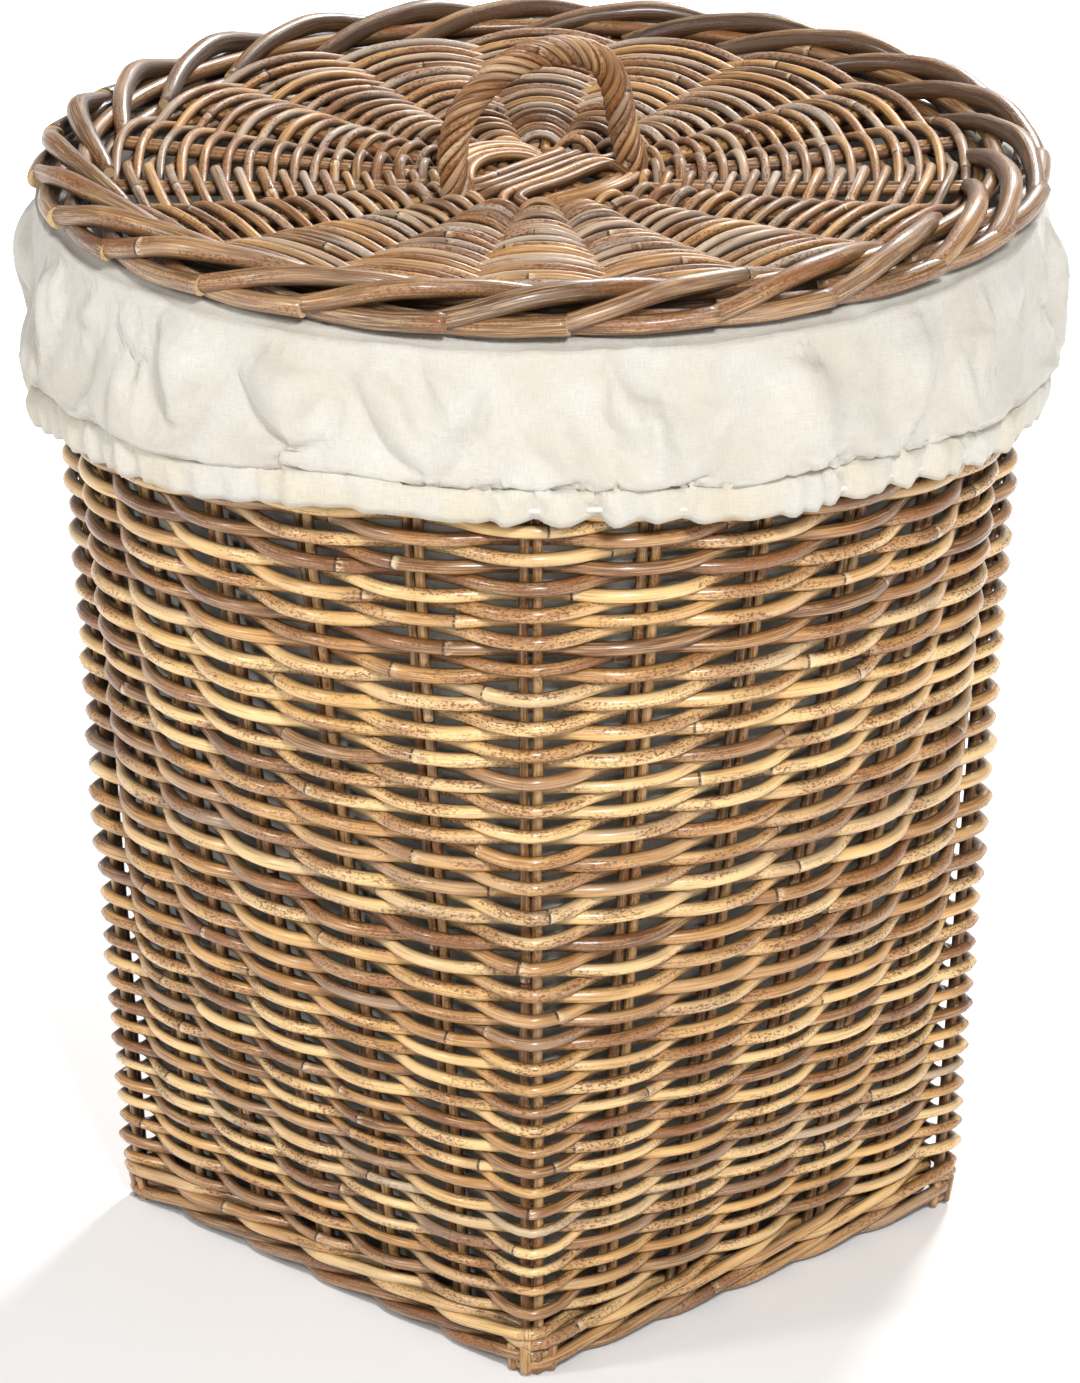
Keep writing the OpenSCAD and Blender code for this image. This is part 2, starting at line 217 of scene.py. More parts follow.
# ---- materials ----
class Shader:
    """A small helper for building one material's nodes."""

    def __init__(self, name):
        self.mat = bpy.data.materials.new(name)
        self.mat.use_nodes = True
        self.tree = self.mat.node_tree
        self.tree.nodes.clear()

    def node(self, kind, inputs=(), out=0, **settings):
        n = self.tree.nodes.new("ShaderNode" + kind)
        for key, value in settings.items():
            setattr(n, key, value)
        for key, value in dict(inputs).items():
            self.feed(n.inputs[key], value)
        return n.outputs[out]

    def feed(self, socket, value):
        if isinstance(value, bpy.types.NodeSocket):
            self.tree.links.new(value, socket)
        else:
            socket.default_value = value

    def math(self, op, a, b=0.0, c=0.0, clamp=False):
        return self.node("Math", {0: a, 1: b, 2: c}, operation=op, use_clamp=clamp)

    def span(self, x, low, high, to_low=0.0, to_high=1.0):
        return self.node(
            "MapRange",
            {"Value": x, "From Min": low, "From Max": high, "To Min": to_low, "To Max": to_high},
            interpolation_type="SMOOTHSTEP",
        )

    def mix(self, factor, a, b, blend="MIX"):
        n = self.tree.nodes.new("ShaderNodeMix")
        n.data_type = "RGBA"
        n.blend_type = blend
        self.feed(n.inputs[0], factor)
        self.feed(n.inputs[6], a)
        self.feed(n.inputs[7], b)
        return n.outputs[2]

    def ramp(self, factor, stops):
        n = self.tree.nodes.new("ShaderNodeValToRGB")
        band = n.color_ramp
        while len(band.elements) < len(stops):
            band.elements.new(0.5)
        for e, (at, colour) in zip(band.elements, stops):
            e.position = at
            e.color = (*colour, 1)
        self.feed(n.inputs[0], factor)
        return n.outputs[0]

    def attribute(self, name, out=2):
        return self.node("Attribute", attribute_name=name, attribute_type="GEOMETRY", out=out)

    def scaled(self, vector, scale):
        return self.node("VectorMath", {0: vector, 1: scale}, operation="MULTIPLY")

    def noise(self, vector, scale=1.0, detail=3.0, rough=0.55):
        return self.node(
            "TexNoise", {"Vector": vector, "Scale": scale, "Detail": detail, "Roughness": rough}
        )

    def bump(self, height, distance, strength=1.0, normal=None):
        inputs = {"Height": height, "Distance": distance, "Strength": strength}
        if normal is not None:
            inputs["Normal"] = normal
        return self.node("Bump", inputs)

    def surface(self, **inputs):
        n = self.tree.nodes.new("ShaderNodeBsdfPrincipled")
        for key, value in inputs.items():
            self.feed(n.inputs[key.replace("_", " ")], value)
        end = self.tree.nodes.new("ShaderNodeOutputMaterial")
        self.tree.links.new(n.outputs[0], end.inputs[0])
        return self.mat


# The materials read what Canes.build stores on each vertex:
#   cane_co: place along and across the cane    cane_shade: light or dark cane, 0 to 1
#   cane_grey: how weathered, 0 to 1            cane_knot: distance from the nearest leaf ring
#   cane_out: 1 on the outside of the cane, -1 on its inner side
def cane_material(name, stops, rough, coat, groove_shade, faded):
    """Rattan: streaks, blotches, flecks, weathering, painted shade in the grooves, cracked rings at knots.
    """
    s = Shader(name)
    co = s.attribute("cane_co", 1)
    shade = s.attribute("cane_shade")
    grey = s.attribute("cane_grey")
    knot = s.attribute("cane_knot")
    blotch = s.noise(s.scaled(co, (24, 120, 120)), detail=3)
    streak = s.noise(s.scaled(co, (40, 1300, 1300)), detail=4, rough=0.6)
    pick = s.math("MULTIPLY_ADD", s.math("SUBTRACT", blotch, 0.5), 0.9, shade, clamp=True)
    colour = s.ramp(pick, stops)
    colour = s.mix(s.span(streak, 0.42, 0.72, 0.0, 0.5), colour, (0.84, 0.57, 0.28, 1))
    colour = s.mix(s.span(streak, 0.50, 0.30, 0.0, 0.55), colour, (0.10, 0.040, 0.013, 1))
    weather = s.noise(s.scaled(co, (12, 200, 200)), detail=4)
    aged = s.math("MULTIPLY", grey, s.span(weather, 0.38, 0.60))
    colour = s.mix(s.math("MULTIPLY", aged, 0.8), colour, faded)
    patch = s.noise(s.scaled(co, (16, 90, 90)), detail=2)
    fleck = s.noise(s.scaled(co, (620, 1000, 1000)), detail=2)
    fleck = s.math("MULTIPLY", s.span(fleck, 0.51, 0.59), s.span(patch, 0.42, 0.60))
    colour = s.mix(s.math("MULTIPLY", fleck, 0.9), colour, (0.11, 0.036, 0.009, 1))
    colour = s.mix(s.span(patch, 0.50, 0.66, 0.0, 0.6), colour, (0.26, 0.090, 0.022, 1))
    broken = s.noise(s.scaled(co, (300, 700, 700)), detail=3)
    peel = s.math("MULTIPLY", s.span(knot, 0.0003, 0.0010), s.span(knot, 0.0052, 0.0016))
    peel = s.math("MULTIPLY", peel, s.span(broken, 0.46, 0.56))
    colour = s.mix(s.math("MULTIPLY", peel, 0.75), colour, (0.74, 0.58, 0.37, 1))
    stain = s.math("MULTIPLY", s.span(knot, -0.016, -0.001), s.span(knot, 0.0006, -0.0004))
    colour = s.mix(s.math("MULTIPLY", stain, 0.4), colour, (0.12, 0.045, 0.014, 1))
    crack = s.math("MULTIPLY", s.span(s.math("ABSOLUTE", knot), 0.0009, 0.0003), s.span(broken, 0.38, 0.50))
    colour = s.mix(s.math("MULTIPLY", crack, 0.9), colour, (0.028, 0.011, 0.004, 1))
    height = s.math("MULTIPLY_ADD", crack, -1.6, streak)
    height = s.math("MULTIPLY_ADD", fleck, -0.5, height)
    height = s.math("MULTIPLY_ADD", peel, 0.7, height)
    # painted shade: the inner side of each cane, where it meets the canes beside it, is darkened in its
    # colour as if in shadow
    shaded_side = s.span(s.attribute("cane_out"), 0.80, -0.30)
    colour = s.mix(s.math("MULTIPLY", shaded_side, groove_shade), colour, (0.035, 0.014, 0.005, 1))
    rough = s.span(streak, 0.3, 0.7, rough, rough - 0.16)
    return s.surface(
        Base_Color=colour,
        Roughness=s.math("MULTIPLY_ADD", aged, 0.2, rough),
        IOR=1.5,
        Coat_Weight=coat,
        Coat_Roughness=0.2,
        Normal=s.bump(height, 0.00025, 0.8),
    )


def pith_material():
    """The cut end of a cane."""
    s = Shader("cane_pith")
    co = s.node("TexCoord", out=3)
    pores = s.node("TexVoronoi", {"Vector": co, "Scale": 2600.0})
    colour = s.mix(s.span(pores, 0.1, 0.5), (0.16, 0.09, 0.04, 1), (0.52, 0.37, 0.20, 1))
    return s.surface(Base_Color=colour, Roughness=0.8, Normal=s.bump(pores, 0.0002, 0.6))


def cotton_material(name, warm):
    """Plain-woven cotton: fine threads both ways, slubs, faint creases and a slightly uneven tone."""
    s = Shader(name)
    co = s.attribute("cloth_co", 1)
    across = s.noise(s.scaled(co, (130, 1900, 1)), detail=3)
    down = s.noise(s.scaled(co, (1900, 130, 1)), detail=3)
    thread = s.math("ADD", across, down)
    tone = s.noise(s.scaled(co, (22, 22, 1)), detail=4)
    crease = s.noise(s.scaled(co, (90, 60, 1)), detail=5, rough=0.6)
    colour = s.mix(s.span(tone, 0.3, 0.7), warm, (0.580, 0.557, 0.505, 1))
    colour = s.mix(s.span(thread, 0.85, 1.25, 0.0, 0.35), colour, (0.41, 0.365, 0.297, 1))
    fine = s.bump(thread, 0.0003, 0.6)
    return s.surface(
        Base_Color=colour,
        Roughness=0.88,
        Sheen_Weight=0.25,
        Sheen_Roughness=0.5,
        Normal=s.bump(crease, 0.0030, 0.4, fine),
    )


def elastic_material():
    """Braided elastic."""
    s = Shader("elastic_cord")
    co = s.attribute("cane_co", 1)
    braid = s.node("TexWave", {"Vector": s.scaled(co, (900, 300, 300)), "Scale": 1.0, "Distortion": 0.5})
    colour = s.mix(braid, (0.62, 0.61, 0.57, 1), (0.85, 0.84, 0.80, 1))
    return s.surface(Base_Color=colour, Roughness=0.7, Normal=s.bump(braid, 0.0003, 0.6))


WEAVER_STOPS = [
    (0.0, (0.15, 0.055, 0.015)),
    (0.2, (0.30, 0.125, 0.034)),
    (0.45, (0.48, 0.235, 0.068)),
    (0.7, (0.69, 0.395, 0.132)),
    (1.0, (0.86, 0.580, 0.255)),
]
DARK_STOPS = [
    (0.0, (0.080, 0.030, 0.009)),
    (0.35, (0.185, 0.076, 0.022)),
    (0.7, (0.33, 0.155, 0.048)),
    (1.0, (0.50, 0.275, 0.095)),
]
PITH = pith_material()
# the fifth value of each cane material is how strongly its painted groove shade darkens the inner sides of
# the canes
WEAVER = cane_material("cane_weaver", WEAVER_STOPS, 0.46, 0.55, 0.85, (0.40, 0.335, 0.265, 1))
THICK = cane_material("cane_thick", DARK_STOPS, 0.52, 0.35, 0.8, (0.38, 0.315, 0.245, 1))
LID = cane_material("cane_lid", WEAVER_STOPS, 0.62, 0.12, 0.88, (0.56, 0.485, 0.395, 1))
COTTON = cotton_material("cotton", (0.535, 0.495, 0.422, 1))
HEM_COTTON = cotton_material("cotton_hem", (0.59, 0.53, 0.41, 1))
ELASTIC = elastic_material()


def place(ob, body, slot, *nodes):
    """Parents a piece to the empty of the body it rides and hides the CAD nodes it stands for; slot is not
    used.
    """
    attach(ob, body)
    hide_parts(*nodes)
    return ob


# ---- the wall between the square foot and the round rim ----
def wall(u, z, off):
    """Points of the wall: u counts stakes from a corner, off is the distance outside the stake line."""
    u, z, off = np.broadcast_arrays(np.asarray(u, float), z, off)
    w = np.mod(u, STAKES)
    side = np.floor(w / PER_SIDE)
    f = w - PER_SIDE * side
    lean = 0.5 * (1 - soft_step((PER_SIDE - f) / 0.4)) - 0.5 * (1 - soft_step(f / 0.4))
    a = lean * math.pi / 2
    x = FOOT_HALF + off * np.cos(a)
    y = FOOT_HALF * (2 * f / PER_SIDE - 1) + off * np.sin(a)
    q = side * math.pi / 2
    b = -math.pi / 4 + u * TAU / STAKES
    t = z / RIM_HEIGHT
    px = (x * np.cos(q) - y * np.sin(q)) * (1 - t) + (RIM_RADIUS + off) * np.cos(b) * t
    py = (x * np.sin(q) + y * np.cos(q)) * (1 - t) + (RIM_RADIUS + off) * np.sin(b) * t
    return np.stack([px, py, z + 0 * px], -1)


def wall_facing(u, z):
    """The way the wall faces at a point."""
    return unit(wall(u, z, 0.01) - wall(u, z, 0.0))


def near_corner(u):
    """1 at a corner stake, falling to 0 within a stake's distance."""
    f = np.mod(u, PER_SIDE)
    return np.exp(-((np.minimum(f, PER_SIDE - f) / 0.45) ** 2))


def ring_noise(count, low, high):
    """Random values at whole stakes, joined smoothly; returns a function of u."""
    values = RNG.uniform(low, high, count)

    def at(u):
        i = np.floor(u).astype(int)
        f = soft_step(u - i)
        return values[i % count] * (1 - f) + values[(i + 1) % count] * f

    return at


def round_off(path, times=1):
    """Softens the bends of a closed path."""
    for _ in range(times):
        path = 0.6 * path + 0.2 * (np.roll(path, 1, 0) + np.roll(path, -1, 0))
    return path


def side_weave():
    """Single weavers, in front of one stake and behind the next, each row opposite to the last."""
    per_bay = 8
    radii = []
    heights = []
    z = WALE_TOP + 0.0024
    while z < WEAVE_TOP - 0.003:
        grown = float(soft_step((z - THIN_TOP) / (THICK_BOTTOM - THIN_TOP)))
        thick = THIN_R + (THICK_R - THIN_R) * grown
        radii.append(float(np.clip(RNG.normal(thick, 0.00022), thick - 0.0005, thick + 0.0005)))
        if heights:
            z += (radii[-1] + radii[-2]) * 0.99
        heights.append(z)
    low, high = Canes(), Canes()
    for row, (z, r) in enumerate(zip(heights, radii)):
        sign = 1 if row % 2 else -1
        start = 2 * int(RNG.integers(0, STAKES // 2)) + (1 if sign > 0 else 0)
        u = start + np.arange(STAKES * per_bay) / per_bay
        c = np.cos(math.pi * u) * sign
        wave = c * (1.28 - 0.28 * c * c)
        t = z / RIM_HEIGHT
        reach = WEAVE_SWING + r - THICK_R
        swell = ring_noise(STAKES, -0.0006, 0.0009)(u)
        out = reach + swell + 0.0024 * near_corner(u) * (1 - t)
        off = np.where(wave > 0, wave * out, wave * (reach - 0.0004))
        lift = ring_noise(STAKES, -0.0007, 0.0007)(u) + 0.0012 * np.sin(TAU * (u / STAKES * 2 + z * 3))
        path = round_off(wall(u, z + lift, off))
        # about half of the rows change to another cane somewhere on their way round
        joint = int(RNG.integers(6, 18))
        later, earlier = RNG.beta(0.9, 0.6), RNG.beta(0.9, 0.6)
        if joint % 2:
            later = earlier
        shade = np.where(np.arange(len(u)) >= joint * per_bay, later, earlier)
        band = max(math.exp(-(((z - middle) / width) ** 2)) for middle, width in GREY_BANDS)
        grey = np.clip(RNG.normal(0.05 + 0.55 * band, 0.25), 0, 1)
        canes = low if z < WEAVE_SPLIT else high
        canes.add(path, r, wall_facing(u, z), closed=True, shade=shade, grey=grey)
    place(low.build("side_weaving_low", WEAVER), "basket", "cane_weaver", "side_weave")
    place(high.build("side_weaving_high", WEAVER), "basket", "cane_weaver", "side_weave")


def wale(canes, z0, r, inset, strands=3, per_bay=8, shade_low=0.2):
    """Each cane passes in front of two stakes and behind one, rising as it goes."""
    h = 1.05 * r
    for k in range(strands):
        u = np.arange(STAKES * per_bay) / per_bay
        p = np.mod(u + k, 3)
        c = np.cos(TAU * p / 3)
        out = np.minimum(-(1.333 * c - 0.333), 1.0)
        off = out * (STICK_R + r) - inset
        off = off + 0.0022 * near_corner(u) * (out > 0)
        rise = -h * np.sin(TAU * p / 3) + ring_noise(STAKES, -0.0005, 0.0005)(u)
        path = round_off(wall(u, z0 + rise, off), 2)
        shade = np.repeat(RNG.uniform(shade_low, 1, STAKES // 3), 3 * per_bay)
        shade = np.roll(shade, -k * per_bay)
        canes.add(path, r, wall_facing(u, z0), closed=True, shade=shade, grey=RNG.uniform(0, 0.5))


def foot():
    """Two rounds of wale, the lower one being the border, with upright cut ends at each corner."""
    upper = Canes()
    wale(upper, 0.0198, 0.0031, 0.0)
    place(upper.build("foot_wale_canes", WEAVER), "basket", "cane_thick", "foot_wale")
    lower = Canes()
    wale(lower, 0.0082, 0.0032, 0.0020, shade_low=0.1)
    for corner in range(0, STAKES, PER_SIDE):
        for k in range(4):
            v = corner + (k - 1.5) * 0.14
            top = 0.015 + RNG.uniform(-0.002, 0.002)
            z = np.linspace(top, 0.0022, 6)
            off = 0.0048 + 0.0012 * (k % 2) - 0.10 * (top - z)
            thick = RNG.uniform(0.0024, 0.0031)
            facing = wall_facing(v, 0.0) + 0 * z[:, None]
            lower.add(wall(v, z, off), thick, facing, slant=(0, RNG.uniform(-0.5, 0.5)))
    place(lower.build("foot_border_canes", THICK), "basket", "cane_thick", "foot_border")


def stakes():
    """Two sticks side by side at every stake, from the foot border to the rim."""
    for n in range(STAKES):
        canes = Canes()
        z = np.linspace(0.002, WEAVE_TOP, 60)
        mid = wall(n, z, 0.0)
        sideways = unit(wall(n + 0.05, z, 0.0) - wall(n - 0.05, z, 0.0))
        if n % PER_SIDE == 0:
            sideways = unit(np.cross(UP, wall_facing(n, 0.25)))[None] + 0 * mid
        for k in (-1, 1):
            bend = sum(
                RNG.uniform(-0.0003, 0.0003) * np.sin(z * f + RNG.uniform(0, 6)) for f in (14, 31, 60)
            )
            path = mid + sideways * (k * PAIR_HALF + bend)[:, None]
            if k < 0:
                path = path - 0.0012 * wall_facing(n, z)
            # the stick set back behind its partner gets a darker cane: partly its own darker colour, partly
            # painted shade for sitting further back
            shade = RNG.uniform(0.55, 1.0) if k > 0 else RNG.uniform(0.0, 0.5)
            thick = STICK_R * RNG.uniform(0.94, 1.02)
            canes.add(path, thick, wall_facing(n, z), shade=shade, grey=RNG.uniform(0, 0.3))
        place(canes.build(f"cane_stake_{n + 1:02d}", THICK), "basket", "cane_thick", f"stake_{n + 1:02d}")


def rope_ring(canes, radius, z, strand_r, twist_r, strands, turns, count=360):
    """Canes twisted round one another in a ring."""
    for k in range(strands):
        a = np.arange(count) * TAU / count
        p = turns * a + k * TAU / strands
        r = radius + twist_r * np.cos(p)
        path = np.stack([r * np.cos(a), r * np.sin(a), z + twist_r * np.sin(p)], -1)
        centre = np.stack([radius * np.cos(a), radius * np.sin(a), z + 0 * a], -1)
        canes.add(path, strand_r, path - centre, closed=True, grey=RNG.uniform(0, 0.4))


def rim():
    """The rolled border at the top of the wall."""
    canes = Canes()
    rope_ring(canes, RIM_RADIUS, RIM_HEIGHT, 0.0042, 0.0047, 3, 32, 480)
    place(canes.build("rim_border_canes", THICK), "basket", "cane_thick", "rim_border")


def floor():
    """The woven floor: six sticks one way, weavers over and under them the other way."""
    for n in range(FLOOR_STICKS):
        canes = Canes()
        y = (n - (FLOOR_STICKS - 1) / 2) * FLOOR_PITCH
        x = np.linspace(-FLOOR_HALF + 0.001, FLOOR_HALF - 0.001, 40)
        path = np.stack([x, y + 0.0004 * np.sin(x * 40 + n), FLOOR_MID + 0 * x], -1)
        canes.add(path, 0.0036, UP)
        place(canes.build(f"floor_cane_{n + 1}", THICK), "basket", "cane_thick", f"floor_stick_{n + 1}")
    canes = Canes()
    pitch = 0.0058
    rows = int(2 * FLOOR_HALF / pitch) - 1
    for j in range(rows):
        x = (j - (rows - 1) / 2) * pitch
        y = np.linspace(-FLOOR_HALF + 0.001, FLOOR_HALF - 0.001, 73)
        swing = 0.0034 * np.cos(math.pi * (y / FLOOR_PITCH + 0.5)) * (1 if j % 2 else -1)
        path = np.stack([x + 0 * y, y, FLOOR_MID + swing], -1)
        canes.add(path, 0.0027, UP, sides=8, grey=RNG.uniform(0, 0.3))
    place(canes.build("floor_weaving", WEAVER), "basket", "cane_weaver", "floor_weave")


# ---- lid ----
def polar(r, a, z):
    """Points from radius, azimuth and height."""
    r, a, z = np.broadcast_arrays(r, a, z)
    return np.stack([r * np.cos(a), r * np.sin(a), z + 0 * r], -1)


def plate(r):
    """Height of the middle of the lid's plate, which sags a little towards its centre."""
    return PLATE_MID - PLATE_DISH * (1 - (r / PLATE_OUT) ** 2)


def rod_end(n, e):
    """Direction and knee point of one end of lid rod n; five rods lie one way and four the other."""
    up = n < 5
    count = 5 if up else 4
    k = (n if up else n - 5) - (count - 1) / 2
    axis = SPOKE_AXIS + (0 if up else math.pi / 2)
    step = TAU / SPOKES
    a = axis + (-k * step if e == 0 else math.pi + k * step)
    along = FAN_START if e == 0 else -FAN_START
    across = -k * ROD_PITCH
    ca, sa = math.cos(axis), math.sin(axis)
    z = plate(FAN_START) + (ROD_LAYER if up else -ROD_LAYER)
    return a, np.array([along * ca - across * sa, along * sa + across * ca, z])


def curve_through(points, count):
    """A smooth path through a few points, by Catmull-Rom."""
    p = np.asarray(points, float)
    p = np.concatenate([[2 * p[0] - p[1]], p, [2 * p[-1] - p[-2]]])
    n = len(p) - 3
    s = np.linspace(0, n, count)
    i = np.minimum(s.astype(int), n - 1)
    t = (s - i)[:, None]
    a, b, c, d = p[i], p[i + 1], p[i + 2], p[i + 3]
    return 0.5 * (2 * b + (c - a) * t + (2 * a - 5 * b + 4 * c - d) * t**2 + (3 * b - a - 3 * c + d) * t**3)


def beside(a, r):
    """A point of the plate on spoke direction a, one rod's half thickness to the right of it."""
    right = np.array([math.sin(a), -math.cos(a), 0.0])
    return np.array([r * math.cos(a), r * math.sin(a), plate(r)]) + right * (SPOKE_R + 0.0002)


def lid_rods():
    """Nine rods right across the lid, and a shorter one beside each of their ends."""
    reaches = (SPOKE_END, 0.16, 0.12, 0.08, 0.06, HIP_RADIUS)
    for n in range(9):
        canes = Canes()
        (a0, knee0), (a1, knee1) = rod_end(n, 0), rod_end(n, 1)
        points = [beside(a0, r) for r in reaches] + [knee0, (knee0 + knee1) / 2, knee1]
        points += [beside(a1, r) for r in reversed(reaches)]
        canes.add(curve_through(points, 120), SPOKE_R, UP, shade=RNG.uniform(0.0, 0.45))
        for a in (a0, a1):
            r = np.linspace(BYE_START, SPOKE_END, 30)[:, None]
            s = np.array([[-math.sin(a), math.cos(a), 0.0]]) * (SPOKE_R + 0.0002)
            path = r * np.array([[math.cos(a), math.sin(a), 0.0]]) + s + UP * plate(r)
            canes.add(path, SPOKE_R, UP, shade=RNG.uniform(0.0, 0.6), slant=(1.2, 0))
        place(canes.build(f"lid_cane_{n + 1}", LID), "lid", "cane_thick", f"lid_rod_{n + 1}")


def lid_weave():
    """Fine weavers round the spokes, each row opposite to the last."""
    per_bay = 8
    canes = Canes()
    r = 0.0505
    row = 0
    last = 0.0027
    while r < PLATE_OUT - 0.001:
        thick = float(np.clip(RNG.normal(0.00238, 0.0002), 0.0020, 0.0028))
        if row:
            r += (thick + last) * 1.08
        last = thick
        sign = 1 if row % 2 else -1
        start = int(RNG.integers(0, SPOKES))
        u = start + np.arange(SPOKES * per_bay) / per_bay
        c = np.cos(math.pi * u) * sign
        wave = c * (1.25 - 0.25 * c * c)
        swing = (SPOKE_R + thick) * 0.99
        z = plate(r) + wave * (swing + ring_noise(SPOKES, -0.0004, 0.0006)(u))
        rr = r + ring_noise(SPOKES, -0.0006, 0.0006)(u)
        a = SPOKE_AXIS + u * TAU / SPOKES
        shade = RNG.uniform(0.0, 0.45)
        grey = float(np.clip(RNG.normal(0.55, 0.3), 0, 1))
        canes.add(polar(rr, a, z), thick, UP, closed=True, shade=shade, grey=grey)
        row += 1
    place(canes.build("lid_weaving", LID), "lid", "cane_weaver", "lid_weave")


def lid_binding():
    """Rounds that pass over one arm of the centre cross and under the next."""
    canes = Canes()
    for r, lift in ((0.0335, 0.0034), (0.0377, 0.0042), (0.0419, 0.0050), (0.0460, 0.0054)):
        a = np.linspace(0, TAU, 121)[:-1] + SPOKE_AXIS + math.pi / 4
        way = -np.cos(2 * (a - SPOKE_AXIS))
        way = np.sign(way) * np.abs(way) ** 0.55
        z = plate(r) + lift * way
        path = polar(r + 0.0006 * np.sin(3 * a + r * 900), a, z)
        canes.add(round_off(path, 3), 0.0026, UP, closed=True, shade=RNG.uniform(0.1, 0.6))
    place(canes.build("lid_binding_canes", LID), "lid", "cane_pale", "lid_binding")


def smooth_run(values):
    """Rounds the corners of a run of numbers."""
    return np.convolve(np.pad(values, 3, "edge"), np.ones(7) / 7, "valid")


def lid_borders():
    """Two tiers of long overlapping canes, each rising from the outer edge and tucked in further on."""
    strokes = 24
    step = TAU / strokes
    upper = Canes()
    lower = Canes()
    for k in range(strokes):
        a0 = k * step + RNG.uniform(-0.02, 0.02)
        s = np.linspace(0, 1, 34)
        r = np.interp(s, [0, 0.15, 0.45, 0.75, 1], [0.2345, 0.2350, 0.2275, 0.2130, 0.2010])
        z = LID_LOW + np.interp(s, [0, 0.15, 0.45, 0.75, 1], [0.0035, 0.0085, 0.0195, 0.0170, 0.0085])
        r, z = smooth_run(r), smooth_run(z)
        thick = np.interp(s, [0, 0.12, 0.5, 0.9, 1], [0.0024, 0.0046, 0.0053, 0.0044, 0.0028])
        thick = thick * RNG.uniform(0.9, 1.08)
        a = a0 + s * step * 2.35
        shade, grey = RNG.uniform(0, 0.7), RNG.uniform(0, 0.5)
        facing = polar(1.0, a, 0.9)
        upper.add(polar(r, a, z), thick, facing, 12, shade=shade, grey=grey, slant=(1.5, 0), gap=2.2)
        a0 += step * 0.45
        s = np.linspace(0, 1, 30)
        r = np.interp(s, [0, 0.3, 0.7, 1], [0.2120, 0.2240, 0.2335, 0.2362])
        z = LID_LOW + np.interp(s, [0, 0.3, 0.7, 1], [0.0058, 0.0045, 0.0052, 0.0078])
        r, z = smooth_run(r), smooth_run(z)
        thick = np.interp(s, [0, 0.2, 1], [0.0030, 0.0046, 0.0050]) * RNG.uniform(0.9, 1.06)
        a = a0 + s * step * 1.9
        shade, grey = RNG.uniform(0, 0.6), RNG.uniform(0, 0.5)
        slant = (0, RNG.uniform(-0.4, 0.4))
        facing = polar(1.0, a, 0.2)
        lower.add(polar(r, a, z), thick, facing, 12, shade=shade, grey=grey, slant=slant, gap=2.2)
    for r, z in ((0.2065, 0.0045), (0.2140, 0.0120)):
        start = RNG.uniform(0, TAU)
        a = np.linspace(start, start + TAU * 0.99, 160)
        lower.add(polar(r, a, LID_LOW + z), 0.0040, UP, sides=10)
    place(upper.build("lid_border_upper_canes", THICK), "lid", "cane_thick", "lid_border_upper")
    place(lower.build("lid_border_lower_canes", THICK), "lid", "cane_thick", "lid_border_lower")


def handle():
    """Thin canes twisted round a bent core, their feet splayed into the middle of the lid."""
    arch = [
        (-0.046, -0.008), (-0.049, 0.006), (-0.0515, 0.021), (-0.049, 0.035), (-0.041, 0.0475),
        (-0.027, 0.0585), (-0.008, 0.0645), (0.012, 0.0638), (0.029, 0.0560), (0.037, 0.0440),
        (0.0405, 0.0305), (0.0440, 0.0150), (0.0475, 0.002), (0.0490, -0.009),
    ]
    mid = curve_through([(x, 0.0, plate(0.0) + 0.0005 + z) for x, z in arch], 170)
    step = np.linalg.norm(np.diff(mid, axis=0), axis=1)
    d = np.concatenate([[0.0], np.cumsum(step)])
    flank = np.array([0.0, 1.0, 0.0])
    out = unit(np.cross(flank, np.gradient(mid, axis=0)))
    c, s = math.cos(HANDLE_TURN), math.sin(HANDLE_TURN)
    turn = np.array([[c, s, 0], [-s, c, 0], [0, 0, 1]])
    core = Canes()
    core.add(mid @ turn + HANDLE_SHIFT, 0.0034, out @ turn, shade=0.3)
    place(core.build("handle_core_cane", THICK), "lid", "cane_pale", "handle_core")
    twist = Canes()
    strands = 7
    pitch = 0.044
    end = np.minimum(d, d[-1] - d)
    for k in range(strands):
        p = d / pitch * TAU + k * TAU / strands
        fan = 1 + 0.75 * np.exp(-((end / 0.011) ** 2))
        r = 0.0053 * fan * (1 + 0.04 * np.sin(d * 90 + k))
        ring = np.cos(p)[:, None] * out + np.sin(p)[:, None] * flank
        path = (mid + ring * r[:, None]) @ turn + HANDLE_SHIFT
        thick = 0.00212 * RNG.uniform(0.9, 1.08)
        shade, grey = RNG.uniform(0.0, 0.75), RNG.uniform(0, 0.6)
        twist.add(path, thick, ring @ turn, sides=8, shade=shade, grey=grey)
    place(twist.build("handle_twist_canes", LID), "lid", "cane_weaver", "handle_twist")


# ---- liner ----
CLOTH_THICK = 0.0011


